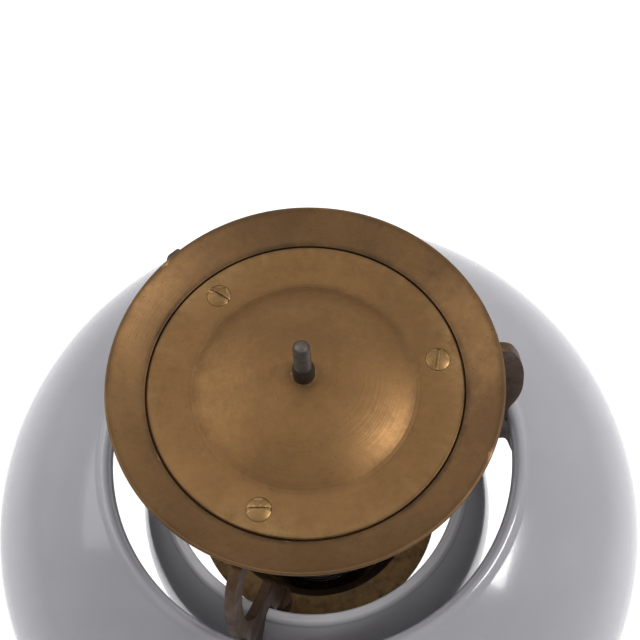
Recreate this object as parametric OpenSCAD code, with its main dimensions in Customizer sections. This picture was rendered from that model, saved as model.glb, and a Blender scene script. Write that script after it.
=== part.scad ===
// Table lamp: two nested opal glasses hung from a spun brass cap on three bracket arms,
// above a holder cup, a slim stem and a weighted brass foot. Millimetres, +Z up,
// origin at the middle of the foot's underside. Arms stand at 0, 120 and 240 degrees.

/* [Cap] */
// Height of the cap ring's upper edge above the table
cap_edge_h = 465; // [430:1:520]
// Outer diameter of the cap ring
cap_d = 120; // [118:1:122]
// Fall of the cap ring's funnel from its edge to the groove
cap_fall = 5.9; // [4.5:0.1:7]
// Diameter of the recess that takes the cover plate
recess_d = 97.2; // [95:0.2:99]
// Sheet thickness of the cap ring
cap_t = 1.4; // [1:0.1:2]
// Hole in the seat under the cover plate
seat_hole_d = 71; // [69:0.5:73]
// Gap round the cover plate
plate_gap = 0.6; // [0.3:0.1:1]
// Thickness of the cover plate
plate_t = 1.8; // [1.7:0.1:2.4]
// Height of the cover plate's face above the groove
plate_proud = 0.3; // [0:0.1:0.8]
// Diameter of the pressed dome
dome_d = 67.6; // [60:0.2:68.4]
// Rise of the pressed dome
dome_rise = 8; // [5:0.5:10]
// Radius of the circle that the cover screws stand on
cover_screw_r = 41.2; // [40.5:0.1:42]

/* [Stud] */
// Diameter of the threaded stud
stud_d = 5.2; // [4:0.1:6]
// Diameter of the stud's thicker root
stud_root_d = 6.8; // [6.4:0.1:8]
// Height of the stud above the dome
stud_h = 19; // [12:0.5:26]
// Height of the stud's thicker root
stud_root_h = 4; // [2:0.5:8]

/* [Outer glass] */
// Widest diameter of the outer glass
shade_d = 243.4; // [236:0.2:252]
// Clear diameter of its upper mouth
shade_mouth_d = 135.8; // [134.8:0.2:137]
// Depth of the rim's top below the cap edge
shade_drop = 59.3; // [57:0.1:61]
// Depth of the widest plane below the rim
shade_bulge = 68.9; // [63:0.1:76]
// Height from the rim to the lower edge
shade_h = 106; // [95:1:116]
// Wall of the outer glass
shade_t = 4.4; // [3.6:0.1:5]
// Radius of the fire-polished rim bead
shade_bead_r = 2.6; // [2.5:0.1:2.9]

/* [Inner glass] */
// Widest diameter of the inner glass ring
inner_d = 129.6; // [126:0.2:132]
// Clear diameter of its upper mouth
inner_mouth_d = 100.8; // [99.6:0.2:102]
// Depth of its rim's top below the cap edge
inner_drop = 81; // [80:0.2:82]
// Depth of its widest plane below the rim
inner_bulge = 34.9; // [33:0.1:37]
// Height from its rim to its lower edge
inner_h = 66.5; // [62:0.5:72]
// Wall of the inner glass
inner_t = 3.6; // [3:0.1:3.9]
// Radius of its rim bead
inner_bead_r = 2.2; // [2:0.1:2.3]

/* [Gallery] */
// Outer diameter of the gallery's lip
gallery_d = 89.2; // [88.6:0.1:90.5]
// Depth of the lip below the cap edge
gallery_drop = 115; // [113:0.5:118]
// Width of the flat lip
lip_w = 8.8; // [8.6:0.1:9.4]
// Inner diameter of the holder cup
well_d = 60.6; // [56:0.2:62]
// Depth of the cone from the lip to the cup's mouth
cone_drop = 12; // [9:0.5:15]
// Depth of the cup below its mouth
well_depth = 50; // [44:0.5:56]
// Sheet thickness of the gallery
gallery_t = 1.4; // [1:0.1:1.8]

/* [Bracket arms] */
// Thickness of an arm
arm_t = 3.2; // [2.6:0.1:4]
// Radial depth of the arm's bow
arm_w = 6; // [5:0.1:7]
// Reach of the bow past the cap ring
bow_reach = 10.9; // [10:0.1:12]
// Diameter of the tapped bosses
boss_d = 8.4; // [8:0.1:8.6]
// Length of a tapped boss
boss_h = 9; // [7:0.5:11]
// Length of the finger under the outer glass
finger_h = 33; // [26:0.5:38]
// Width of a claw under the inner glass
claw_w = 8; // [6:0.5:10]
// Sheet thickness of a claw
claw_t = 1.6; // [1.2:0.1:2]

/* [Bulb and holder] */
// Largest diameter of the bulb
bulb_d = 60; // [50:1:62]
// Overall length of the bulb
bulb_h = 104; // [98:1:110]
// Diameter of the screw cap
bulb_cap_d = 26.2; // [26:0.1:26.4]
// Outer diameter of the lampholder
holder_d = 40; // [38:0.5:44]
// Height of the lampholder
holder_h = 42; // [38:0.5:48]

/* [Stem] */
// Outer diameter of the stem tube
stem_d = 16; // [14:0.5:20]
// Wall of the stem tube
stem_wall = 1.2; // [0.8:0.1:1.6]
// Outer diameter of the threaded pipe
pipe_d = 10; // [9:0.1:10.4]
// Bore of the threaded pipe
pipe_bore = 7; // [6:0.1:7.6]
// Height of the collar under the holder cup
top_collar_h = 18; // [12:1:24]
// Height of the collar on the foot
foot_collar_h = 12; // [8:1:18]

/* [Foot] */
// Diameter of the foot
foot_d = 144; // [138:1:156]
// Height of the foot's flat top
foot_h = 24; // [23:0.5:30]
// Height of the rounded shoulder
shoulder_h = 11; // [8:0.5:13]
// Width of the rounded shoulder
shoulder_w = 12; // [8:0.5:14]
// Wall of the foot shell
foot_wall = 1.2; // [1:0.1:1.6]
// Diameter of the foot's neck
neck_d = 28; // [26:0.5:34]
// Height of the neck above the flat top
neck_h = 12; // [8:0.5:16]
// Thickness of the felt
felt_t = 2; // [1.5:0.1:3]
// Thickness of the iron weight's ring
weight_t = 11.5; // [8:0.5:12]

/* [Switch and inlet] */
// Distance of the switch from the lamp's axis
switch_y = 42; // [40:0.5:44]
// Diameter of the switch's housing
switch_d = 32; // [28:0.5:34]
// Diameter of the turning knob's skirt
knob_d = 20; // [17:0.5:22]
// Height of the turning knob
knob_h = 14; // [11:0.5:18]
// Diameter of the switch spindle
spindle_d = 4; // [3.6:0.1:4.6]
// Bore of the cord inlet
inlet_bore = 6.2; // [5:0.1:6.2]

/* [Fasteners] */
// Thread diameter of the cover and gallery screws
screw_d = 4; // [3.6:0.1:4.2]
// Head diameter of the cover screws
head_d = 7.4; // [7:0.1:7.8]
// Directions of the cover screws' slots, as they were left
slot_turns = [71, -43, -11];

/* [Hidden] */
$fn = 96;

// Clearances: flush seats, threads, turning fits and glass seats
thread_gap = 0.05;
turn_gap = 0.06;
glass_gap = 0.25;
easy_gap = 0.3;
// Directions of the three arms
ARMS = [0, 120, 240];

// Cap, from its edge down
cap_r = cap_d / 2;
recess_r = recess_d / 2;
groove_z = cap_edge_h - cap_fall;
plate_z = groove_z + plate_proud;
seat_top = plate_z - plate_t;
seat_z = seat_top - cap_t;
plate_r = recess_r - plate_gap;
dome_r = dome_d / 2;
dome_power = 2.6;
dome_z = plate_z + dome_rise;
head_sink = (head_d - screw_d) / 2;
head_crown = 0.9;
screw_slot_w = 1.1;
screw_slot_h = 1.2;

// Stud
stud_hole_r = stud_d / 2 + easy_gap / 2;
stud_nut_h = 4;
stud_nut_af = 8;
stud_top = dome_z + stud_h;
stud_foot = dome_z - plate_t - stud_nut_h - 2;

// Outer glass: an oblate shell, cut open at its mouth and below
shade_rim_r = shade_mouth_d / 2 + shade_bead_r;
shade_rim_z = cap_edge_h - shade_drop - shade_bead_r;
shade_wide_z = shade_rim_z - shade_bulge;
shade_a = (shade_d - shade_t) / 2;
shade_low_z = shade_rim_z - shade_h;

// Inner glass: a barrel ring
inner_rim_r = inner_mouth_d / 2 + inner_bead_r;
inner_rim_z = cap_edge_h - inner_drop - inner_bead_r;
inner_wide_z = inner_rim_z - inner_bulge;
inner_a = (inner_d - inner_t) / 2;
inner_low_z = inner_rim_z - inner_h;

// Gallery
lip_z = cap_edge_h - gallery_drop;
gallery_r = gallery_d / 2;
lip_in_r = gallery_r - lip_w;
boss_r = boss_d / 2;
lip_screw_r = gallery_r - lip_w / 2;
well_r = well_d / 2;
well_z = lip_z - cone_drop;
well_floor_z = well_z - well_depth;
cup_low_z = well_floor_z - gallery_t;
boss_hole_r = screw_d / 2 + thread_gap;
gallery_head_d = 7;
gallery_head_h = 2.6;

// Stem, between the cup and the foot
nut_h = 4;
nut_af = 14;
pipe_r = pipe_d / 2;
pipe_fit_r = pipe_r + thread_gap;
holder_z = well_floor_z + nut_h;
bulb_low_z = holder_z + 20.35;
bulb_ball_z = bulb_low_z + bulb_h - bulb_d / 2;
neck_z = foot_h + neck_h;
stem_low_z = neck_z + foot_collar_h;
stem_top_z = cup_low_z - top_collar_h;
stem_seat = 4;
stem_r = stem_d / 2;
foot_r = foot_d / 2;
foot_low_z = felt_t * 0.6;
cover_t = 1.2;
cover_z = felt_t + cover_t;
weight_r = foot_r - foot_wall - 1.5;
hub_r = 30;
hub_top = foot_h - foot_wall;
wire_space = 4.4;
weight_z = cover_z + wire_space;
pipe_low_z = weight_z + 0.2;
pipe_top_z = holder_z + 7;
well_pocket_r = 13;
clamp_z = weight_z + 6.8;

// Switch, inlet and wiring
switch_x = 0;
switch_low = cover_z + 1;
switch_top = hub_top;
switch_bush_r = 5;
knob_z = foot_h + 3.2;
inlet_z = felt_t + 6;
inlet_r = inlet_bore / 2;
inlet_body_r = inlet_r + 0.9;
inlet_flange_r = inlet_r + 1.7;
block_y = 42;
block_w = 20;
block_l = 14;
block_h = 11;
block_z = cover_z;
wire_r = 1.1;
wire_z = cover_z + 3;
wire_bend = 3;
wire_x = 1.5;

// Interpolates between two values
function mix(a, b, t) = a + (b - a) * t;

// Points of an open Catmull-Rom curve through p, with n steps between neighbours
function curve(p, n = 4) = let (m = len(p) - 1) concat(
    [for (i = [0:m - 1], k = [0:n - 1]) let (
        t = k / n, a = p[max(i - 1, 0)], b = p[i], c = p[i + 1], d = p[min(i + 2, m)])
        0.5 * (2 * b + (c - a) * t + (2 * a - 5 * b + 4 * c - d) * t * t
            + (3 * b - a - 3 * c + d) * t * t * t)],
    [p[m]]);

// Points of an arc round c with radius r, from angle a to angle b
function arc(c, r, a, b, n = 8) =
    [for (i = [0:n]) c + r * [cos(mix(a, b, i / n)), sin(mix(a, b, i / n))]];

// Section of a blown glass: an elliptic wall of thickness t with a round bead at its mouth.
// a is the middle wall's widest radius, wide the height of that plane, rim the bead's centre,
// low the height of the ground lower edge.
function glass_section(a, wide, rim, low, t, bead, n = 26) = let (
    b = (rim[1] - wide) / sqrt(1 - pow(rim[0] / a, 2)),
    end = acos(rim[0] / a),
    start = asin((low - wide) / b),
    speed = norm([a * sin(end), b * cos(end)]) * PI / 180,
    stop = end - sqrt(bead * bead - t * t / 4) / speed,
    turn = asin(t / 2 / bead),
    along = atan2(b * cos(end), -a * sin(end)),
    wall = [for (i = [0:n - 1]) let (q = mix(start, stop, i / n), nx = b * cos(q), nz = a * sin(q))
        [[a * cos(q), wide + b * sin(q)], [nx, nz] / norm([nx, nz])]],
    foot = wall[0], skew = [-foot[1][1], foot[1][0]] * foot[1][1] / foot[1][0] * t / 2)
    concat(
        [for (i = [0:n - 1]) wall[i][0] + wall[i][1] * t / 2 - (i == 0 ? skew : [0, 0])],
        arc(rim, bead, along - 180 + turn, along + 180 - turn, 14),
        [for (i = [n - 1:-1:0]) wall[i][0] - wall[i][1] * t / 2 + (i == 0 ? skew : [0, 0])]);

// Radius of a glass's outer face at height z
function glass_out(a, wide, rim, t, z) = let (
    b = (rim[1] - wide) / sqrt(1 - pow(rim[0] / a, 2)))
    (a + t / 2) * sqrt(1 - pow((z - wide) / (b + t / 2), 2));

// Height of a glass's inner face at radius r, above its widest plane
function glass_in(a, wide, rim, t, r) = let (
    b = (rim[1] - wide) / sqrt(1 - pow(rim[0] / a, 2)))
    wide + (b - t / 2) * sqrt(1 - pow(r / (a - t / 2), 2));

// Height of the cap ring's funnel at radius r
function funnel(r) = groove_z + cap_fall * pow((r - recess_r) / (cap_r - recess_r), 1.2);

// Height of the cover plate's dome at radius r
function dome(r) = plate_z + dome_rise * (1 - pow(r / dome_r, dome_power));

module at_arms() {
    for (a = ARMS)
        rotate(a)
            children();
}

// A hexagon nut with a bore and turned-off corners
module hex_nut(af, h, bore_r) {
    difference() {
        intersection() {
            cylinder(d = af / cos(30), h = h, $fn = 6);
            rotate_extrude()
                polygon([[0, 0], [af / 2 - 0.2, 0], [af / cos(30) / 2, 0.5],
                    [af / cos(30) / 2, h - 0.5], [af / 2 - 0.2, h], [0, h]]);
        }
        translate([0, 0, -1])
            cylinder(r = bore_r, h = h + 2);
    }
}

// Sheet funnel with a recessed seat for the cover plate
module cap_ring() {
    steps = 10;
    edge_r = cap_t / 2;
    top = [for (i = [0:steps]) let (r = mix(recess_r, cap_r - edge_r, i / steps)) [r, funnel(r)]];
    under = [for (i = [steps:-1:0])
        let (r = mix(recess_r + cap_t, cap_r - edge_r, i / steps)) [r, funnel(r) - cap_t]];
    tip = funnel(cap_r - edge_r) - edge_r;
    color("peru") difference() {
        rotate_extrude()
            polygon(concat(
                [[seat_hole_d / 2, seat_top], [recess_r, seat_top]],
                top,
                arc([cap_r - edge_r, tip], edge_r, 80, -80, 6),
                under,
                [[recess_r + cap_t, seat_z], [seat_hole_d / 2, seat_z]]));
        at_arms()
            translate([cover_screw_r, 0, seat_z - 1])
                cylinder(d = screw_d + easy_gap, h = cap_t + 2);
    }
}

// Flat plate with a pressed dome and countersunk screw holes
module cover_plate() {
    steps = 16;
    foot = 1.2;
    start_r = stud_hole_r;
    rise = [for (i = [0:steps]) let (r = mix(start_r, dome_r - foot, pow(i / steps, 0.8))) [r, dome(r)]];
    fillet = [[dome_r - foot * 0.2, plate_z + 0.25], [dome_r + foot * 0.7, plate_z]];
    upper = concat(rise, fillet);
    color("darkgoldenrod") difference() {
        rotate_extrude()
            polygon(concat(
                upper,
                [[plate_r - 0.3, plate_z], [plate_r, plate_z - 0.3], [plate_r, seat_top]],
                [for (i = [len(upper) - 1:-1:0]) upper[i] - [0, plate_t]]));
        at_arms()
            translate([cover_screw_r, 0, 0]) {
                translate([0, 0, seat_top - 1])
                    cylinder(d = screw_d + easy_gap, h = plate_t + 2);
                translate([0, 0, plate_z - head_sink - 0.05])
                    cylinder(r1 = screw_d / 2 + 0.1, r2 = head_d / 2 + 0.15, h = head_sink + 0.06);
            }
    }
}

// Raised countersunk screws with slots, holding plate, cap ring and arms together
module cover_screws() {
    reach = plate_z - seat_z + boss_h - 2;
    bulge = (pow(head_d / 2, 2) + pow(head_crown, 2)) / (2 * head_crown);
    color("goldenrod")
        for (i = [0:2])
            rotate(ARMS[i])
                translate([cover_screw_r, 0, plate_z])
                    rotate(slot_turns[i] - ARMS[i])
                        difference() {
                            union() {
                                translate([0, 0, -reach])
                                    cylinder(d = screw_d, h = reach - head_sink + 0.01);
                                translate([0, 0, -head_sink])
                                    cylinder(r1 = screw_d / 2, r2 = head_d / 2, h = head_sink);
                                intersection() {
                                    cylinder(d = head_d, h = head_crown + 1);
                                    translate([0, 0, head_crown - bulge])
                                        sphere(r = bulge, $fn = 160);
                                }
                            }
                            translate([-head_d, -screw_slot_w / 2, head_crown - screw_slot_h])
                                cube([2 * head_d, screw_slot_w, screw_slot_h + 1]);
                        }
}

// Threaded stud that took the finial, with a thicker root on the dome
module top_stud() {
    color("dimgray")
        rotate_extrude()
            polygon([[0, stud_foot], [stud_d / 2, stud_foot], [stud_d / 2, dome_z],
                [stud_root_d / 2, dome_z], [stud_root_d / 2, dome_z + stud_root_h],
                [stud_d / 2, dome_z + stud_root_h + 2.5], [stud_d / 2, stud_top - 1],
                [stud_d / 2 - 0.8, stud_top], [0, stud_top]]);
}

module stud_nut() {
    color("gray")
        translate([0, 0, dome(stud_nut_af / 2 / cos(30)) - plate_t - stud_nut_h])
            hex_nut(stud_nut_af, stud_nut_h, stud_d / 2 + thread_gap);
}

// Outline of an arm in its own plane: x is the distance from the lamp's axis, y the height.
// From under the cap it bows out past the ring, nips in at the outer glass's rim, sends a
// finger down under that glass, hooks over the inner glass's rim and stands on the gallery.
function arm_outline() = let (
    bow_r = cap_r + bow_reach,
    neck_r = shade_mouth_d / 2 - glass_gap,
    drop = function(t) mix(cap_edge_h, shade_rim_z, t),
    bead_low = shade_rim_z - shade_bead_r - glass_gap,
    tip_z = bead_low - finger_h,
    rest = function(r) glass_in(shade_a, shade_wide_z, [shade_rim_r, shade_rim_z], shade_t, r) - glass_gap,
    shoulder = function(z) glass_out(inner_a, inner_wide_z, [inner_rim_r, inner_rim_z], inner_t, z) + 1.2,
    hook = [inner_rim_r, inner_rim_z],
    hook_r = inner_bead_r + 1.2,
    hook_low = inner_rim_z - 12,
    lip = lip_screw_r,
    outer_side = curve([[recess_r + cap_t + 1, seat_z], [mix(recess_r, cap_r, 0.55), funnel(mix(recess_r, cap_r, 0.55)) - cap_t - 2.2],
        [cap_r - 0.6, cap_edge_h - 5], [cap_r + 0.38 * bow_reach, drop(0.12)], [cap_r + 0.66 * bow_reach, drop(0.22)],
        [cap_r + 0.87 * bow_reach, drop(0.36)], [bow_r - 0.3, drop(0.51)], [bow_r, drop(0.65)],
        [mix(bow_r, neck_r, 0.35), drop(0.77)], [mix(bow_r, neck_r, 0.85), drop(0.85)], [neck_r, drop(0.92)],
        [neck_r, bead_low + 1]], 3),
    finger = concat([[neck_r, bead_low], [shade_rim_r, bead_low]],
        [for (k = [1:3]) let (r = shade_rim_r + 2 * k) [r, min(rest(r), bead_low - 0.6 * k)]],
        curve([[shade_rim_r + 6.4, bead_low - 5], [shade_rim_r + 6.2, tip_z + 5], [shade_rim_r + 5.4, tip_z + 1.2],
            [shade_rim_r + 4, tip_z], [shade_rim_r + 2.8, tip_z + 1.4], [shade_rim_r + 1.6, tip_z + 6],
            [shade_rim_r - 1, tip_z + 15.5], [neck_r - 1.6, tip_z + 17], [neck_r - 3.8, tip_z + 13.5],
            [shoulder(hook_low) + 1.9, hook_low + 1.2], [shoulder(hook_low) + 0.6, hook_low]], 3)),
    arch = concat(curve([[shoulder(hook_low + 1), hook_low + 1], [shoulder(hook_low + 5), hook_low + 5],
            [shoulder(hook_low + 8.5), hook_low + 8.5]], 2),
        arc(hook, hook_r, -8, 188, 10)),
    leg = curve([[inner_rim_r - hook_r - 0.4, inner_rim_z - 5], [mix(inner_rim_r, gallery_r, 0.55), inner_rim_z - 12],
        [lip + boss_r - 0.6, lip_z + boss_h + 3], [lip + boss_r - 1, lip_z + 1]], 3),
    inner_side = curve([[lip - boss_r + 1, lip_z + 1], [lip - boss_r + 0.8, lip_z + boss_h + 2],
        [lip - 0.2, inner_rim_z - 10], [lip + 2.6, inner_rim_z + 1], [lip + 3.4, inner_rim_z + 10],
        [lip + 5.2, inner_rim_z + 15], [lip + 8.4, inner_rim_z + 17], [inner_rim_r - 0.4, inner_rim_z + 18.4],
        [neck_r - 8.4, drop(0.97)], [neck_r - 5.6, drop(0.87)], [bow_r - arm_w - 0.3, drop(0.73)],
        [bow_r - arm_w, drop(0.58)], [bow_r - arm_w - 0.7, drop(0.43)], [cap_r + 0.87 * bow_reach - arm_w - 1.4, drop(0.31)],
        [cap_r - 1.8, seat_z - 5.6], [recess_r + 1, seat_z - 5]], 3))
    concat([[cover_screw_r - boss_r, seat_z]], outer_side, finger, arch, leg,
        [[lip + boss_r - 1, lip_z], [lip - boss_r + 1, lip_z]], inner_side,
        [[cover_screw_r - boss_r, seat_z - 5]]);

// One cast arm with its two tapped bosses
module bracket(a) {
    color("sienna") rotate(a) difference() {
        union() {
            rotate([90, 0, 0])
                translate([0, 0, -arm_t / 2])
                    linear_extrude(arm_t)
                        polygon(arm_outline());
            translate([cover_screw_r, 0, seat_z - boss_h])
                cylinder(d = boss_d, h = boss_h);
            translate([lip_screw_r, 0, lip_z])
                cylinder(d = boss_d, h = boss_h);
        }
        translate([cover_screw_r, 0, seat_z - boss_h - 1])
            cylinder(r = boss_hole_r, h = boss_h + 2);
        translate([lip_screw_r, 0, lip_z - 1])
            cylinder(r = boss_hole_r, h = boss_h - 1);
    }
}

module bracket_right() {
    bracket(ARMS[0]);
}

module bracket_rear() {
    bracket(ARMS[1]);
}

module bracket_front() {
    bracket(ARMS[2]);
}

module outer_glass() {
    color("whitesmoke")
        rotate_extrude($fn = 180)
            polygon(glass_section(shade_a, shade_wide_z, [shade_rim_r, shade_rim_z], shade_low_z,
                shade_t, shade_bead_r, 30));
}

module inner_glass() {
    color("ghostwhite")
        rotate_extrude($fn = 144)
            polygon(glass_section(inner_a, inner_wide_z, [inner_rim_r, inner_rim_z], inner_low_z,
                inner_t, inner_bead_r, 18));
}

// Bent strips under the gallery's lip that carry the inner glass by its lower edge
module glass_claws() {
    top = lip_z - gallery_t;
    edge_r = glass_out(inner_a, inner_wide_z, [inner_rim_r, inner_rim_z], inner_t, inner_low_z + 2.4);
    drop_r = gallery_r + 3.2;
    ledge = inner_low_z;
    toe_r = edge_r + glass_gap;
    color("peru") at_arms()
        difference() {
            rotate([90, 0, 0])
                translate([0, 0, -claw_w / 2])
                    linear_extrude(claw_w)
                        polygon(concat(
                            [[lip_screw_r - boss_r + 1.4, top]],
                            arc([drop_r - 2.5, top - 2.5], 2.5, 90, 0, 5),
                            arc([drop_r + 2, ledge + 2], 2, 180, 270, 5),
                            [[toe_r, ledge], [toe_r, ledge + 2.4], [toe_r + claw_t, ledge + 2.4],
                                [toe_r + claw_t, ledge - claw_t]],
                            arc([drop_r + 2, ledge + 2], 2 + claw_t, 270, 180, 5),
                            arc([drop_r - 2.5, top - 2.5], 2.5 - claw_t, 0, 90, 4),
                            [[lip_screw_r - boss_r + 1.4, top - claw_t]]));
            translate([lip_screw_r, 0, top - claw_t - 1])
                cylinder(d = screw_d + easy_gap, h = claw_t + 2);
        }
}

// Spun cup for the lampholder, with a cone and a flat lip that the arms stand on
module gallery_cup() {
    slant = norm([lip_in_r - well_r, cone_drop]);
    out = gallery_t * (slant + cone_drop - (lip_in_r - well_r)) / (slant + cone_drop + (lip_in_r - well_r)) + 0.35;
    color("peru") difference() {
        rotate_extrude()
            polygon([[pipe_fit_r, cup_low_z], [well_r - 1, cup_low_z], [well_r + gallery_t, cup_low_z + 2.4],
                [well_r + gallery_t, well_z - out * 0.5], [lip_in_r + out, lip_z - gallery_t],
                [gallery_r - 0.2, lip_z - gallery_t], [gallery_r, lip_z - gallery_t + 0.3],
                [gallery_r, lip_z - 0.3], [gallery_r - 0.3, lip_z], [lip_in_r, lip_z], [well_r, well_z],
                [well_r, well_floor_z + 1.6], [well_r - 1.6, well_floor_z], [pipe_fit_r, well_floor_z]]);
        at_arms()
            translate([lip_screw_r, 0, lip_z - gallery_t - 1])
                cylinder(d = screw_d + easy_gap, h = gallery_t + 2);
    }
}

// Slotted cheese-head screws from below, through claw and lip into the arms
module gallery_screws() {
    seat = lip_z - gallery_t - claw_t;
    reach = gallery_t + claw_t + boss_h - 3;
    color("goldenrod") at_arms()
        translate([lip_screw_r, 0, seat])
            difference() {
                union() {
                    cylinder(d = screw_d, h = reach);
                    translate([0, 0, -gallery_head_h])
                        cylinder(d = gallery_head_d, h = gallery_head_h);
                }
                translate([-gallery_head_d, -screw_slot_w / 2, -gallery_head_h - 1])
                    cube([2 * gallery_head_d, screw_slot_w, screw_slot_h + 1]);
            }
}

// Lower half of the lampholder, screwed on the pipe
module holder_base() {
    r = holder_d / 2;
    split = holder_z + 13;
    color([0.09, 0.08, 0.08])
        rotate_extrude()
            polygon([[pipe_fit_r, holder_z], [9, holder_z], [r - 4, holder_z + 3], [r, holder_z + 8], [r, split],
                [r - 2.4, split], [r - 2.4, split - 3], [pipe_fit_r, split - 3]]);
}

// Upper half of the lampholder: a ribbed sleeve round the insert
module holder_shell() {
    r = holder_d / 2;
    low = holder_z + 13 + easy_gap / 2;
    top = holder_z + holder_h;
    ribs = 5;
    waves = [for (i = [0:ribs - 1]) each [
        [r, mix(low + 6, top - 8, i / ribs)], [r, mix(low + 6, top - 8, (i + 0.6) / ribs)],
        [r - 0.8, mix(low + 6, top - 8, (i + 0.7) / ribs)], [r - 0.8, mix(low + 6, top - 8, (i + 0.9) / ribs)]]];
    color([0.09, 0.08, 0.08])
        rotate_extrude()
            polygon(concat([[r, low]], waves, [[r, top - 4], [r - 1, top - 1], [r - 3, top],
                [bulb_cap_d / 2 + 2.4, top], [bulb_cap_d / 2 + 1.6, top - 1], [bulb_cap_d / 2 + 1.6, top - 3],
                [r - 2.4, top - 4], [r - 2.4, low]]));
}

// Porcelain insert that carries the contacts
module holder_insert() {
    r = holder_d / 2 - 2.4 - easy_gap / 2;
    low = holder_z + 13 - 3;
    color("white") difference() {
        rotate_extrude()
            polygon([[0, low], [r - 1, low], [r, low + 1], [r, low + 7], [r - 1.2, low + 8], [0, low + 8]]);
        translate([0, 0, low - 1])
            cylinder(d = pipe_bore, h = 6);
    }
}

// Brass screw shell of the lampholder
module holder_thread() {
    inner = bulb_cap_d / 2 + 0.25;
    low = holder_z + 18;
    color("gold")
        rotate_extrude()
            polygon([[inner, low], [inner + 0.6, low], [inner + 0.6, holder_z + holder_h - 4.4],
                [inner, holder_z + holder_h - 4.4]]);
}

// Sprung centre contact
module holder_contact() {
    low = holder_z + 18;
    color("gold") {
        translate([-2.5, -7, low])
            cube([5, 10, 0.6]);
        translate([-2.5, 0, 0])
            rotate([90, 0, 90])
                linear_extrude(5)
                    polygon([[2, low + 0.3], [3, low + 0.3], [0.6, low + 2.3], [-3, low + 2.3], [-3, low + 1.7],
                        [0.3, low + 1.7]]);
    }
}

// Glass envelope of the bulb, open inside its cap
module bulb_glass() {
    wall = 0.8;
    r = bulb_d / 2;
    cap_top = bulb_low_z + 26;
    neck = bulb_cap_d / 2 - 1;
    side = concat(
        curve([[neck, cap_top - 6], [neck, cap_top], [neck + 1.5, cap_top + 8],
            [mix(neck, r, 0.55), mix(cap_top, bulb_ball_z, 0.5)], [r * cos(24), bulb_ball_z - r * sin(24)]], 3),
        arc([0, bulb_ball_z], r, -20, 90, 18));
    color([1, 1, 1, 0.5])
        rotate_extrude()
            polygon(concat(side, [[0, bulb_ball_z + r - wall]],
                [for (i = [len(side) - 2:-1:0]) let (p = side[i], d = norm(p - [0, bulb_ball_z]))
                    p[1] > bulb_ball_z - r * 0.6 ? [0, bulb_ball_z] + (p - [0, bulb_ball_z]) * (d - wall) / d
                    : [p[0] - wall, p[1]]]));
}

// Threaded cap of the bulb with its glass seal and centre contact
module bulb_cap() {
    turns = 5;
    pitch = 3.6;
    r = bulb_cap_d / 2;
    seal = bulb_low_z + 4;
    color("silver")
        rotate_extrude()
            polygon(concat(
                [[0, bulb_low_z], [4.5, bulb_low_z], [5, bulb_low_z + 1], [9, bulb_low_z + 2], [r - 1.2, seal]],
                [for (i = [0:turns - 1]) each [[r - 0.5, seal + pitch * i + 0.4], [r, seal + pitch * (i + 0.35)],
                    [r, seal + pitch * (i + 0.6)], [r - 0.5, seal + pitch * (i + 0.95)]]],
                [[r - 0.6, seal + 21.5], [r - 0.85, seal + 21.5], [r - 0.85, seal + 0.6], [0, seal + 0.6]]));
}

// Glass stem in the bulb with the two lead wires' pinch
module bulb_mount() {
    low = bulb_low_z + 4.6;
    top = bulb_ball_z - 8;
    color([0.9, 0.95, 1, 0.6])
        rotate_extrude($fn = 48)
            polygon([[0, low], [9.5, low], [9.5, low + 1], [4, low + 14], [3, low + 30], [2.4, top - 6],
                [3.4, top - 3], [2, top], [0, top]]);
}

// Ring of filament on two lead wires
module bulb_filament() {
    ring_z = bulb_ball_z + 4;
    foot_z = bulb_ball_z - 11;
    color("dimgray") {
        rotate([0, 0, 20])
            translate([0, 0, ring_z])
                rotate_extrude(angle = 320, $fn = 64)
                    translate([12, 0])
                        circle(r = 0.4, $fn = 16);
        for (a = [20, 340])
            rotate(a)
                translate([12, 0, ring_z])
                    rotate([0, atan2(-8, foot_z - ring_z), 0])
                        cylinder(r = 0.35, h = norm([8, ring_z - foot_z]), $fn = 16);
    }
}

module cup_nut() {
    color("gray")
        translate([0, 0, well_floor_z])
            hex_nut(nut_af + 2, nut_h, pipe_fit_r);
}

// Turned collar between cup and stem
module top_collar() {
    z = stem_top_z;
    h = top_collar_h;
    color("peru")
        rotate_extrude()
            polygon(concat(
                [[pipe_fit_r, z + stem_seat], [stem_r + easy_gap / 2, z + stem_seat], [stem_r + easy_gap / 2, z],
                    [stem_r + 1.4, z]],
                curve([[stem_r + 2.2, z + 0.8], [stem_r + 2.2, z + h * 0.3], [stem_r + 3.6, z + h * 0.55],
                    [stem_r + 8, z + h * 0.78], [stem_r + 12, z + h - 2.4]], 3),
                [[stem_r + 12, z + h], [pipe_fit_r, z + h]]));
}

module stem_tube() {
    low = stem_low_z - stem_seat;
    color("goldenrod")
        translate([0, 0, low])
            difference() {
                cylinder(r = stem_r, h = stem_top_z + stem_seat - low);
                translate([0, 0, -1])
                    cylinder(r = stem_r - stem_wall, h = stem_top_z + stem_seat - low + 2);
            }
}

// Threaded pipe that ties foot, stem and cup together and carries the leads
module stem_pipe() {
    color("gray")
        translate([0, 0, pipe_low_z])
            difference() {
                cylinder(r = pipe_r, h = pipe_top_z - pipe_low_z);
                translate([0, 0, -1])
                    cylinder(d = pipe_bore, h = pipe_top_z - pipe_low_z + 2);
            }
}

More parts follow.
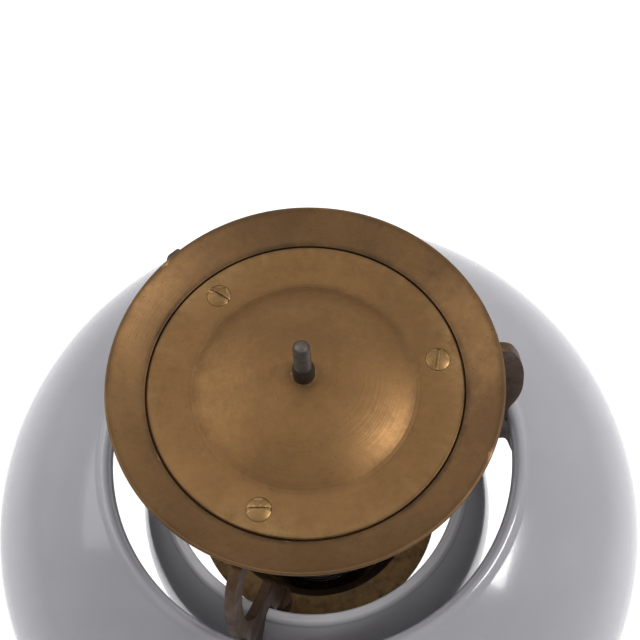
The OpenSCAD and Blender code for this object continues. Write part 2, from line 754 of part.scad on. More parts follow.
// Turned collar on the foot's neck
module foot_collar() {
    z = neck_z;
    h = foot_collar_h;
    r = neck_d / 2 - 2.5;
    color("peru")
        rotate_extrude()
            polygon(concat(
                [[pipe_fit_r, z], [r, z]],
                arc([r, z + 2.4], 2.4, -90, 90, 8),
                [[r - 0.8, z + 4.8]],
                curve([[r - 1.2, z + 5.6], [stem_r + 1.8, z + h * 0.72], [stem_r + 1.2, z + h]], 4),
                [[stem_r + easy_gap / 2, z + h], [stem_r + easy_gap / 2, z + h - stem_seat],
                    [pipe_fit_r, z + h - stem_seat]]));
}

// Spun foot: upright wall, rounded shoulder, flat top and a fillet up to the neck
module foot_shell() {
    shoulder_z = foot_h - shoulder_h;
    flat_r = foot_r - shoulder_w;
    steps = 8;
    fillet_r = min(neck_h, 12);
    root = neck_d / 2 + fillet_r;
    outer = concat(
        [[foot_r, foot_low_z], [foot_r, shoulder_z]],
        [for (i = [1:steps]) let (q = 90 * i / steps) [flat_r + shoulder_w * cos(q), shoulder_z + shoulder_h * sin(q)]],
        [for (i = [0:steps]) let (q = 90 * i / steps) [root - fillet_r * sin(q), neck_z - neck_h * cos(q) + 0]]);
    w = foot_wall;
    inner = concat(
        [[neck_d / 2 - w, neck_z - w]],
        [for (i = [steps - 1:-1:0]) let (q = 90 * i / steps) [root - fillet_r * sin(q) - w * sin(q), neck_z - neck_h * cos(q) - w * cos(q)]],
        [for (i = [steps:-1:1]) let (q = 90 * i / steps)
            [flat_r + (shoulder_w - w) * cos(q), shoulder_z + (shoulder_h - w) * sin(q)]],
        [[foot_r - w, shoulder_z], [foot_r - w, foot_low_z]]);
    color("peru") difference() {
        rotate_extrude($fn = 144)
            polygon(concat(outer, [[pipe_fit_r, neck_z], [pipe_fit_r, neck_z - w]], inner));
        translate([switch_x, -switch_y, foot_h - w - 1])
            cylinder(r = switch_bush_r + easy_gap / 2, h = w + 2);
        translate([0, foot_r - 4, inlet_z])
            rotate([-90, 0, 0])
                cylinder(r = inlet_body_r + thread_gap, h = 8);
    }
}

// Cast iron weight with pockets for switch, terminals, nut and wiring
module foot_weight() {
    top = weight_z + weight_t;
    color([0.25, 0.25, 0.27]) difference() {
        rotate_extrude()
            polygon([[0, weight_z], [weight_r - 1, weight_z], [weight_r, weight_z + 1],
                [weight_r, min(top, foot_h - shoulder_h)], [foot_r - shoulder_w - 2, top], [hub_r + 3, top],
                [hub_r, top + 1.5], [hub_r, hub_top], [0, hub_top]]);
        translate([0, 0, weight_z - 1])
            cylinder(r = pipe_fit_r + 0.2, h = foot_h);
        translate([0, 0, weight_z - 1])
            cylinder(r = well_pocket_r, h = clamp_z - weight_z + 1);
        translate([switch_x, -switch_y, weight_z - 1])
            cylinder(r = switch_d / 2 + 1, h = foot_h);
        translate([-block_w / 2 - 1, block_y - block_l / 2 - 1, weight_z - 1])
            cube([block_w + 2, foot_r, foot_h]);
        at_feet()
            translate([0, 0, weight_z - 1])
                cylinder(d = 3 + 2 * thread_gap, h = 9);
    }
}

// Places the three screws that hold the foot cover
module at_feet() {
    for (a = [30, 150, 270 + 45])
        rotate(a)
            translate([foot_r - 14, 0, 0])
                children();
}

module foot_washer() {
    color("silver")
        translate([0, 0, clamp_z - 1.6])
            difference() {
                cylinder(r = well_pocket_r - 2, h = 1.6);
                translate([0, 0, -1])
                    cylinder(r = pipe_fit_r, h = 4);
            }
}

module foot_nut() {
    color("gray")
        translate([0, 0, clamp_z - 1.6 - nut_h])
            hex_nut(nut_af + 1, nut_h, pipe_fit_r);
}

// Fibre disc that closes the foot from below
module foot_cover() {
    color([0.35, 0.22, 0.14]) difference() {
        union() {
            translate([0, 0, felt_t])
                cylinder(r = foot_r - foot_wall - easy_gap, h = cover_t);
            at_feet()
                translate([0, 0, felt_t])
                    cylinder(r = 3.4, h = weight_z - felt_t);
        }
        at_feet() {
            translate([0, 0, felt_t - 1])
                cylinder(d = 3 + easy_gap, h = weight_z - felt_t + 2);
            translate([0, 0, felt_t - 0.01])
                cylinder(r1 = 2.9, r2 = 1.6, h = 1.36);
        }
    }
}

// Countersunk screws of the foot cover, under the felt
module cover_feet_screws() {
    color("silver") at_feet()
        translate([0, 0, felt_t])
            difference() {
                union() {
                    cylinder(d = 3, h = weight_z - felt_t + 7);
                    cylinder(r1 = 2.7, r2 = 1.5, h = 1.2);
                }
                translate([-3, -0.4, -0.1])
                    cube([6, 0.8, 0.9]);
            }
}

module felt_pad() {
    color("darkgreen")
        difference() {
            cylinder(r = foot_r - foot_wall - 2, h = felt_t);
            translate([0, 0, -1])
                cylinder(r = 18, h = felt_t + 2);
        }
}

// Moulded bush in the rear of the foot, where a cord would enter
module inlet_bush() {
    color([0.12, 0.09, 0.08])
        translate([0, foot_r, inlet_z])
            rotate([-90, 0, 0])
                rotate_extrude()
                    polygon([[inlet_r, -8], [inlet_body_r, -8], [inlet_body_r, 0], [inlet_flange_r, 0],
                        [inlet_flange_r, 1.2], [inlet_flange_r - 1, 2.4], [inlet_r + 0.6, 2.4], [inlet_r, 1.6]]);
}

// Push-on clip that holds the bush from inside
module inlet_clip() {
    color("silver")
        translate([0, foot_r - foot_wall - 1.9, inlet_z])
            rotate([-90, 0, 0])
                rotate_extrude()
                    polygon([[inlet_body_r + thread_gap, 0], [inlet_body_r + 0.75, 0.7],
                        [inlet_body_r + 0.75, 1.6], [inlet_body_r + thread_gap, 0.9]]);
}

// Porcelain two-way terminal block at the end of the inlet
module terminal_block() {
    color("ivory")
        translate([0, block_y, block_z])
            difference() {
                translate([-block_w / 2, -block_l / 2, 0])
                    cube([block_w, block_l, block_h]);
                for (s = [-1, 1]) {
                    translate([s * block_w / 4, -block_l, wire_z - block_z])
                        rotate([-90, 0, 0])
                            cylinder(r = wire_r + 0.4, h = 2 * block_l);
                    for (y = [-1, 1])
                        translate([s * block_w / 4, y * block_l / 4, wire_z - block_z])
                            cylinder(r = 1.5 + thread_gap, h = block_h);
                }
                translate([-0.8, -block_l, block_h - 3])
                    cube([1.6, 2 * block_l, 4]);
            }
}

module terminal_screws() {
    low = wire_z + wire_r + 0.2;
    color("goldenrod")
        for (s = [-1, 1], y = [-1, 1])
            translate([s * block_w / 4, block_y + y * block_l / 4, low])
                difference() {
                    cylinder(r = 1.5, h = block_z + block_h - 1 - low);
                    translate([-2, -0.35, block_z + block_h - 2 - low])
                        cube([4, 0.7, 2]);
                }
}

// Lead that runs level from p to the pipe at x and turns up it to the holder
module riser_lead(x, p) {
    run = p - [x, 0];
    top = holder_z + 13;
    translate([x, 0, 0])
        rotate(atan2(run[1], run[0]) - 90) {
            translate([0, wire_bend, wire_z])
                rotate([-90, 0, 0])
                    cylinder(r = wire_r, h = norm(run) - wire_bend, $fn = 32);
            translate([0, wire_bend, wire_z + wire_bend])
                rotate([90, 0, 90])
                    rotate(180)
                        rotate_extrude(angle = 90, $fn = 64)
                            translate([wire_bend, 0])
                                circle(r = wire_r, $fn = 32);
            translate([0, 0, wire_z + wire_bend])
                cylinder(r = wire_r, h = top - wire_z - wire_bend, $fn = 32);
        }
}

// The two leads that rise through the pipe, one from the terminals and one from the switch
module lamp_leads() {
    color("black") {
        riser_lead(-wire_x, [-block_w / 4, block_y - block_l / 2 + 2.4]);
        riser_lead(wire_x, [wire_x, -switch_y + switch_d / 2 + 0.05]);
    }
}

// Lead from the terminals to the switch, under the weight
module switch_lead() {
    a = [block_w / 4, block_y - block_l / 2 + 2.4];
    b = [9, -switch_y + sqrt(pow(switch_d / 2, 2) - 81) + 1];
    color("maroon")
        translate([a[0], a[1], wire_z])
            rotate(atan2(b[1] - a[1], b[0] - a[0]))
                rotate([0, 90, 0])
                    cylinder(r = wire_r, h = norm(b - a), $fn = 32);
}

// Housing of the rotary switch with its threaded bush
module switch_body() {
    color([0.12, 0.1, 0.1])
        translate([switch_x, -switch_y, 0])
            rotate_extrude()
                polygon([[0, switch_low], [switch_d / 2 - 1, switch_low], [switch_d / 2, switch_low + 1],
                    [switch_d / 2, switch_top - 1.5], [switch_d / 2 - 1.5, switch_top], [switch_bush_r, switch_top],
                    [switch_bush_r, foot_h + 3], [spindle_d / 2 + turn_gap, foot_h + 3],
                    [spindle_d / 2 + turn_gap, switch_low + 6], [0, switch_low + 6]]);
}

// Knurled ring nut that clamps the switch to the foot
module switch_bush_nut() {
    grooves = 24;
    color("goldenrod")
        translate([switch_x, -switch_y, foot_h])
            difference() {
                rotate_extrude()
                    polygon([[switch_bush_r + thread_gap, 0], [8.4, 0], [8.4, 1.8], [7.8, 2.4],
                        [switch_bush_r + thread_gap, 2.4]]);
                for (i = [0:grooves - 1])
                    rotate(360 * i / grooves)
                        translate([8.6, 0, -1])
                            cylinder(r = 0.5, h = 5, $fn = 16);
            }
}

module switch_spindle() {
    low = switch_low + 6.2;
    color("silver")
        translate([switch_x, -switch_y, low])
            cylinder(d = spindle_d, h = knob_z + knob_h - 4 - low);
}

// Turning knob: a skirt with a wing to grip
module switch_knob() {
    wing_w = 5;
    skirt_h = 3.4;
    color([0.1, 0.08, 0.08])
        translate([switch_x, -switch_y, knob_z])
            difference() {
                union() {
                    rotate_extrude()
                        polygon([[0, 0], [knob_d / 2 - 0.4, 0], [knob_d / 2, 0.5], [knob_d / 2, skirt_h - 1],
                            [knob_d / 2 - 1, skirt_h], [0, skirt_h + 0.8]]);
                    intersection() {
                        translate([-wing_w / 2, -knob_d / 2, 0])
                            cube([wing_w, knob_d, knob_h]);
                        rotate_extrude()
                            polygon([[0, 0], [knob_d / 2 - 0.5, 0], [knob_d / 2 - 0.5, knob_h - 4],
                                [knob_d / 2 - 1.6, knob_h - 1.4], [knob_d / 2 - 4, knob_h], [0, knob_h]]);
                    }
                    cylinder(r = 4.2, h = knob_h - 2.5);
                }
                translate([0, 0, -1])
                    cylinder(d = spindle_d + 2 * thread_gap, h = knob_h - 3);
                translate([0, 0, knob_h - 6])
                    rotate([0, 90, 0])
                        cylinder(r = 1.25 + thread_gap, h = 6);
            }
}

// Grub screw that holds the knob on its spindle
module knob_screw() {
    color("silver")
        translate([switch_x + spindle_d / 2 + 0.05, -switch_y, knob_z + knob_h - 6])
            rotate([0, 90, 0])
                difference() {
                    cylinder(r = 1.25, h = 2);
                    translate([-0.3, -2, 1.4])
                        cube([0.6, 4, 1]);
                }
}

cap_ring();
cover_plate();
cover_screws();
top_stud();
stud_nut();
bracket_right();
bracket_rear();
bracket_front();
outer_glass();
inner_glass();
glass_claws();
gallery_cup();
gallery_screws();
holder_base();
holder_shell();
holder_insert();
holder_thread();
holder_contact();
bulb_glass();
bulb_cap();
bulb_mount();
bulb_filament();
cup_nut();
top_collar();
stem_tube();
stem_pipe();
foot_collar();
foot_shell();
foot_weight();
foot_nut();
foot_washer();
foot_cover();
cover_feet_screws();
felt_pad();
inlet_bush();
inlet_clip();
terminal_block();
terminal_screws();
lamp_leads();
switch_lead();
switch_body();
switch_bush_nut();
switch_spindle();
switch_knob();
knob_screw();
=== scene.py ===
import logging
import math
from dataclasses import dataclass, field
from enum import Enum
from typing import Dict, List, Sequence, Tuple

import bpy
import numpy as np
from mathutils import Matrix, Vector


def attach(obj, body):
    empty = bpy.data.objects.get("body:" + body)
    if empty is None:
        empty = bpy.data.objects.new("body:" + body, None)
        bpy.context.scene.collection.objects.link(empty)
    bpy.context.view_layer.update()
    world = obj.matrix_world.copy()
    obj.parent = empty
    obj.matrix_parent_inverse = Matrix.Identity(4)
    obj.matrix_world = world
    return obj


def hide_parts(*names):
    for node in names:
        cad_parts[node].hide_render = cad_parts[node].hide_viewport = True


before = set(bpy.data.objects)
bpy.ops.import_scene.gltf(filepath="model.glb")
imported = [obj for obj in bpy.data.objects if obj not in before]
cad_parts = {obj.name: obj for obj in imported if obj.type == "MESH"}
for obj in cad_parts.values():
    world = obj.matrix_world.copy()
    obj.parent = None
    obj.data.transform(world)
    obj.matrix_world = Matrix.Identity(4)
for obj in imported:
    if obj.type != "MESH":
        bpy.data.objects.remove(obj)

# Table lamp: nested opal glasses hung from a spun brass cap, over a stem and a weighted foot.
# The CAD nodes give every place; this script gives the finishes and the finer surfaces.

logging.basicConfig(level=logging.INFO, format="%(message)s")
log = logging.getLogger("lamp")

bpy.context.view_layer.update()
MM = 0.001
BEVEL_ABOVE = math.radians(28)
CREASE_ABOVE = math.radians(50)
SHADE_HEIGHT = 0.42
EULER = 2.718
Triple = Tuple[float, float, float]
Colour = Triple


def rgba(colour: Colour) -> Tuple[float, float, float, float]:
    """Adds a full alpha to a colour."""
    return (*colour, 1.0)


class Graph:
    """Short ways to place and join shader nodes in one tree."""

    def __init__(self, tree: bpy.types.NodeTree) -> None:
        """Takes the tree that the nodes go into."""
        self.tree = tree

    def add(self, kind: str, **values: object) -> bpy.types.Node:
        """Adds a node of one kind and sets its plain properties."""
        node = self.tree.nodes.new(kind)
        for name, value in values.items():
            setattr(node, name, value)
        return node

    def join(self, source: bpy.types.NodeSocket, target: bpy.types.NodeSocket) -> None:
        """Links one socket to another."""
        self.tree.links.new(source, target)

    def feed(self, target: bpy.types.NodeSocket, value: object) -> None:
        """Links a socket to the target, or sets the target to a number or a colour."""
        if isinstance(value, bpy.types.NodeSocket):
            self.join(value, target)
        else:
            target.default_value = value

    def math(self, operation: str, a: object, b: object = 0.0, clamp: bool = False) -> bpy.types.NodeSocket:
        """Places a Math node on two values.

        Args:
            operation: the Math node's operation.
            a: first value or socket.
            b: second value or socket.
            clamp: whether the result is held between 0 and 1.

        Returns:
            The node's output.
        """
        node = self.add("ShaderNodeMath", operation=operation, use_clamp=clamp)
        self.feed(node.inputs[0], a)
        self.feed(node.inputs[1], b)
        return node.outputs[0]

    def span(self, value: object, low: float, high: float) -> bpy.types.NodeSocket:
        """Stretches a value smoothly so that low becomes 0 and high becomes 1."""
        node = self.add("ShaderNodeMapRange", interpolation_type="SMOOTHSTEP")
        self.feed(node.inputs[0], value)
        node.inputs[1].default_value = low
        node.inputs[2].default_value = high
        return node.outputs[0]

    def blend(self, factor: object, a: object, b: object) -> bpy.types.NodeSocket:
        """Mixes two colours by a factor."""
        node = self.add("ShaderNodeMix", data_type="RGBA")
        self.feed(node.inputs[0], factor)
        self.feed(node.inputs[6], a)
        self.feed(node.inputs[7], b)
        return node.outputs[2]

    def between(self, value: bpy.types.NodeSocket, first: float, last: float) -> bpy.types.NodeSocket:
        """Turns 0 to 1 into first to last."""
        node = self.add("ShaderNodeMapRange")
        self.join(value, node.inputs[0])
        node.inputs[3].default_value = first
        node.inputs[4].default_value = last
        return node.outputs[0]

    def noise(self, place: bpy.types.NodeSocket, scale: object, detail: float = 4.0,
              rough: float = 0.55) -> bpy.types.NodeSocket:
        """Places a Noise Texture and gives its value."""
        node = self.add("ShaderNodeTexNoise")
        self.join(place, node.inputs["Vector"])
        self.feed(node.inputs["Scale"], scale)
        node.inputs["Detail"].default_value = detail
        node.inputs["Roughness"].default_value = rough
        return node.outputs["Fac"]

    def place(self) -> bpy.types.NodeSocket:
        """Gives the object's own coordinates through a Mapping node."""
        where = self.add("ShaderNodeTexCoord")
        turn = self.add("ShaderNodeMapping")
        self.join(where.outputs["Object"], turn.inputs["Vector"])
        return turn.outputs["Vector"]

    def radius(self, place: bpy.types.NodeSocket) -> bpy.types.NodeSocket:
        """Distance from the lamp's axis: the root of x squared plus y squared."""
        parts = self.add("ShaderNodeSeparateXYZ")
        self.join(place, parts.inputs[0])
        squares = self.math("ADD", self.math("MULTIPLY", parts.outputs[0], parts.outputs[0]),
                            self.math("MULTIPLY", parts.outputs[1], parts.outputs[1]))
        return self.math("SQRT", squares)


class Effects:
    """Node groups that several finishes share, each built once."""

    def __init__(self) -> None:
        """Starts with no group built."""
        self.made: Dict[str, bpy.types.NodeTree] = {}

    def tree(self, name: str, takes: Dict[str, str],
             gives: Dict[str, str]) -> Tuple[Graph, bpy.types.Node, bpy.types.Node]:
        """Makes an empty group with named sockets.

        Args:
            name: the group's name.
            takes: input names with their kinds, Float or Color.
            gives: output names with their kinds.

        Returns:
            The graph, its input node and its output node.
        """
        tree = bpy.data.node_groups.new(name, "ShaderNodeTree")
        for label, kind in takes.items():
            tree.interface.new_socket(label, in_out="INPUT", socket_type="NodeSocket" + kind)
        for label, kind in gives.items():
            tree.interface.new_socket(label, in_out="OUTPUT", socket_type="NodeSocket" + kind)
        self.made[name] = tree
        graph = Graph(tree)
        return graph, graph.add("NodeGroupInput"), graph.add("NodeGroupOutput")

    def patina(self) -> bpy.types.NodeTree:
        """Aged metal's colour: cloudy tone from two sizes of noise, fine mottle, dark stains and pits."""
        if "patina" in self.made:
            return self.made["patina"]
        g, takes, gives = self.tree(
            "patina",
            {"Scale": "Float", "Light": "Color", "Mid": "Color", "Dark": "Color", "Stain": "Float"},
            {"Color": "Color", "Tone": "Float", "Height": "Float"})
        at = g.place()
        scale = takes.outputs["Scale"]
        wide = g.noise(at, g.math("MULTIPLY", scale, 0.35), 3.0)
        cloud = g.noise(at, scale, 6.0, 0.6)
        fine = g.noise(at, g.math("MULTIPLY", scale, 11.0), 4.0, 0.7)
        tone = g.math("ADD", g.math("MULTIPLY", wide, 0.4), g.math("MULTIPLY", cloud, 0.4))
        tone = g.span(g.math("ADD", tone, g.math("MULTIPLY", fine, 0.2)), 0.36, 0.64)
        body = g.blend(tone, takes.outputs["Mid"], takes.outputs["Light"])
        blot = g.span(g.noise(at, g.math("MULTIPLY", scale, 1.7), 8.0, 0.72), 0.56, 0.76)
        pit = g.span(g.noise(at, g.math("MULTIPLY", scale, 16.0), 2.0), 0.68, 0.76)
        dirt = g.math("MULTIPLY", g.math("MAXIMUM", blot, pit), takes.outputs["Stain"], clamp=True)
        g.join(g.blend(dirt, body, takes.outputs["Dark"]), gives.inputs["Color"])
        g.join(g.math("SUBTRACT", tone, dirt, clamp=True), gives.inputs["Tone"])
        g.join(g.math("SUBTRACT", g.math("MULTIPLY", fine, 0.4), pit), gives.inputs["Height"])
        return self.made["patina"]

    def spun(self) -> bpy.types.NodeTree:
        """Turning lines: one-dimensional noise of the distance from the axis."""
        if "spun" in self.made:
            return self.made["spun"]
        g, takes, gives = self.tree("spun", {"Lines": "Float"}, {"Value": "Float"})
        node = g.add("ShaderNodeTexNoise", noise_dimensions="1D")
        g.join(g.math("MULTIPLY", g.radius(g.place()), takes.outputs["Lines"]), node.inputs["W"])
        node.inputs["Scale"].default_value = 1.0
        node.inputs["Detail"].default_value = 3.0
        g.join(node.outputs["Fac"], gives.inputs["Value"])
        return self.made["spun"]

    def ring(self) -> bpy.types.NodeTree:
        """A band round the axis: 1 at a radius, falling as a bell over a width, broken by noise."""
        if "ring" in self.made:
            return self.made["ring"]
        g, takes, gives = self.tree(
            "ring", {"Radius": "Float", "Width": "Float", "Broken": "Float"}, {"Mask": "Float"})
        at = g.place()
        gap = g.math("SUBTRACT", g.radius(at), takes.outputs["Radius"])
        off = g.math("DIVIDE", gap, takes.outputs["Width"])
        bell = g.math("POWER", EULER, g.math("MULTIPLY", g.math("MULTIPLY", off, off), -1.0))
        patchy = g.span(g.noise(at, 60.0, 6.0, 0.7), 0.35, 0.62)
        gaps = g.math("SUBTRACT", 1.0, patchy)
        keep = g.math("SUBTRACT", 1.0, g.math("MULTIPLY", takes.outputs["Broken"], gaps))
        g.join(g.math("MULTIPLY", bell, keep, clamp=True), gives.inputs["Mask"])
        return self.made["ring"]

    def wear(self) -> bpy.types.NodeTree:
        """Rubbed edges: the mesh's pointiness, cut by noise."""
        if "wear" in self.made:
            return self.made["wear"]
        g, takes, gives = self.tree("wear", {"Amount": "Float"}, {"Mask": "Float"})
        edge = g.span(g.add("ShaderNodeNewGeometry").outputs["Pointiness"], 0.515, 0.58)
        rough = g.span(g.noise(g.place(), 240.0, 5.0, 0.7), 0.3, 0.6)
        rubbed = g.math("MULTIPLY", edge, rough)
        g.join(g.math("MULTIPLY", rubbed, takes.outputs["Amount"], clamp=True), gives.inputs["Mask"])
        return self.made["wear"]


EFFECTS = Effects()


def use(graph: Graph, group: bpy.types.NodeTree, **values: object) -> bpy.types.Node:
    """Places a group in a material with its own values."""
    node = graph.add("ShaderNodeGroup", node_tree=group)
    for name, value in values.items():
        graph.feed(node.inputs[name], value)
    return node


@dataclass(frozen=True)
class Finish:
    """What every finish has: a name and a way to fill its material."""

    name: str

    def fill(self, graph: Graph, shader: bpy.types.Node) -> None:
        """Sets the shader's sockets."""
        raise NotImplementedError

    def material(self) -> bpy.types.Material:
        """Builds the material once and gives it back each time."""
        found = bpy.data.materials.get("finish_" + self.name)
        if found:
            return found
        made = bpy.data.materials.new("finish_" + self.name)
        made.use_nodes = True
        made.node_tree.nodes.clear()
        graph = Graph(made.node_tree)
        shader = graph.add("ShaderNodeBsdfPrincipled")
        out = graph.add("ShaderNodeOutputMaterial")
        graph.join(shader.outputs[0], out.inputs[0])
        self.fill(graph, shader)
        return made


def bump(graph: Graph, shader: bpy.types.Node, height: bpy.types.NodeSocket, strength: float,
         distance: float) -> None:
    """Feeds a height to the shader's normal."""
    node = graph.add("ShaderNodeBump")
    node.inputs["Strength"].default_value = strength
    node.inputs["Distance"].default_value = distance
    graph.join(height, node.inputs["Height"])
    graph.join(node.outputs[0], shader.inputs["Normal"])


@dataclass(frozen=True)
class AgedMetal(Finish):
    """Brass or steel with patina, turning lines, darker rings in the grooves that are partly grime and partly
    painted shade, and rubbed edges.
    """

    light: Colour = (0.160, 0.088, 0.036)
    mid: Colour = (0.108, 0.059, 0.026)
    dark: Colour = (0.040, 0.026, 0.015)
    bright: Colour = (0.36, 0.23, 0.10)
    scale: float = 45.0
    stain: float = 0.45
    rough: Tuple[float, float] = (0.56, 0.42)
    lines: float = 0.0
    grime_and_shade_rings: Tuple[Tuple[float, float, float], ...] = ()
    wear: float = 0.5
    metal: float = 0.92

    def fill(self, graph: Graph, shader: bpy.types.Node) -> None:
        """Lays patina, then the groove rings of grime and painted shade, then rubbed edges."""
        skin = use(graph, EFFECTS.patina(), Scale=self.scale, Light=rgba(self.light), Mid=rgba(self.mid),
                   Dark=rgba(self.dark), Stain=self.stain)
        colour = skin.outputs["Color"]
        tone = skin.outputs["Tone"]
        height = skin.outputs["Height"]
        if self.lines:
            spun = use(graph, EFFECTS.spun(), Lines=self.lines).outputs["Value"]
            height = graph.math("ADD", height, graph.math("MULTIPLY", spun, 0.9))
            tone = graph.math("ADD", graph.math("MULTIPLY", tone, 0.75), graph.math("MULTIPLY", spun, 0.25))
        # Each ring darkens the metal round the axis at a groove or crease: partly grime, partly painted shade
        # where the recesses fall dark.
        for radius, width, strength in self.grime_and_shade_rings:
            mask = use(graph, EFFECTS.ring(), Radius=radius, Width=width, Broken=0.75).outputs["Mask"]
            colour = graph.blend(graph.math("MULTIPLY", mask, strength), colour, rgba(self.dark))
            tone = graph.math("SUBTRACT", tone, graph.math("MULTIPLY", mask, 0.6), clamp=True)
        rub = use(graph, EFFECTS.wear(), Amount=self.wear).outputs["Mask"]
        graph.join(graph.blend(rub, colour, rgba(self.bright)), shader.inputs["Base Color"])
        shine = graph.math("ADD", tone, rub, clamp=True)
        graph.join(graph.between(shine, *self.rough), shader.inputs["Roughness"])
        shader.inputs["Metallic"].default_value = self.metal
        bump(graph, shader, height, 0.25, 0.00012)


@dataclass(frozen=True)
class Opal(Finish):
    """Blown opal glass: milky body, faint clouds and long waves, a fire-polished gloss."""

    body: Colour = (0.285, 0.283, 0.298)
    cloud: Colour = (0.245, 0.242, 0.258)
    dirt: Colour = (0.2, 0.19, 0.18)
    rough: Tuple[float, float] = (0.10, 0.20)

    def fill(self, graph: Graph, shader: bpy.types.Node) -> None:
        """Mixes two milky tones and puts a glossy coat with a slow wave over them."""
        at = graph.place()
        mist = graph.span(graph.noise(at, 14.0, 5.0, 0.5), 0.32, 0.68)
        speck = graph.span(graph.noise(at, 520.0, 1.0), 0.79, 0.83)
        milk = graph.blend(mist, rgba(self.body), rgba(self.cloud))
        specked = graph.blend(graph.math("MULTIPLY", speck, 0.5), milk, rgba(self.dirt))
        graph.join(specked, shader.inputs["Base Color"])
        smear = graph.noise(at, 30.0, 5.0, 0.6)
        graph.join(graph.between(smear, *self.rough), shader.inputs["Roughness"])
        shader.inputs["Subsurface Weight"].default_value = 0.35
        shader.inputs["Subsurface Radius"].default_value = (0.9, 0.9, 1.0)
        shader.inputs["Subsurface Scale"].default_value = 0.006
        shader.inputs["Transmission Weight"].default_value = 0.12
        shader.inputs["IOR"].default_value = 1.5
        shader.inputs["Coat Weight"].default_value = 0.25
        shader.inputs["Coat Roughness"].default_value = 0.05
        bump(graph, shader, graph.noise(at, 9.0, 1.0), 0.12, 0.002)


@dataclass(frozen=True)
class Clear(Finish):
    """Thin clear bulb glass with a trace of dust."""

    clean: Colour = (0.96, 0.97, 0.97)
    dusty: Colour = (0.85, 0.84, 0.80)

    def fill(self, graph: Graph, shader: bpy.types.Node) -> None:
        """Sets full transmission and a dusty roughness."""
        dust = graph.span(graph.noise(graph.place(), 90.0, 6.0, 0.7), 0.5, 0.8)
        graph.join(graph.math("ADD", graph.math("MULTIPLY", dust, 0.12), 0.02), shader.inputs["Roughness"])
        graph.join(graph.blend(dust, rgba(self.clean), rgba(self.dusty)), shader.inputs["Base Color"])
        shader.inputs["Transmission Weight"].default_value = 1.0
        shader.inputs["IOR"].default_value = 1.45


@dataclass(frozen=True)
class Dull(Finish):
    """A body that isn't metal: two tones of noise, a fine grain and a roughness."""

    first: Colour = (0.05, 0.05, 0.05)
    second: Colour = (0.03, 0.03, 0.03)
    scale: float = 80.0
    grain: float = 900.0
    rough: Tuple[float, float] = (0.5, 0.6)
    relief: float = 0.0001
    coat: float = 0.0
    sheen: float = 0.0

    def fill(self, graph: Graph, shader: bpy.types.Node) -> None:
        """Mixes the tones, the grain and the gloss."""
        at = graph.place()
        cloud = graph.span(graph.noise(at, self.scale, 6.0, 0.65), 0.3, 0.7)
        grain = graph.noise(at, self.grain, 3.0, 0.7)
        mix = graph.math("MULTIPLY", graph.math("ADD", cloud, grain), 0.5)
        tint = graph.blend(mix, rgba(self.first), rgba(self.second))
        rub = use(graph, EFFECTS.wear(), Amount=0.35).outputs["Mask"]
        pale = tuple(min(1.0, 1.6 * c + 0.02) for c in self.first)
        graph.join(graph.blend(rub, tint, rgba(pale)), shader.inputs["Base Color"])
        graph.join(graph.between(cloud, *self.rough), shader.inputs["Roughness"])
        shader.inputs["Coat Weight"].default_value = self.coat
        shader.inputs["Sheen Weight"].default_value = self.sheen
        bump(graph, shader, grain, 0.5, self.relief)


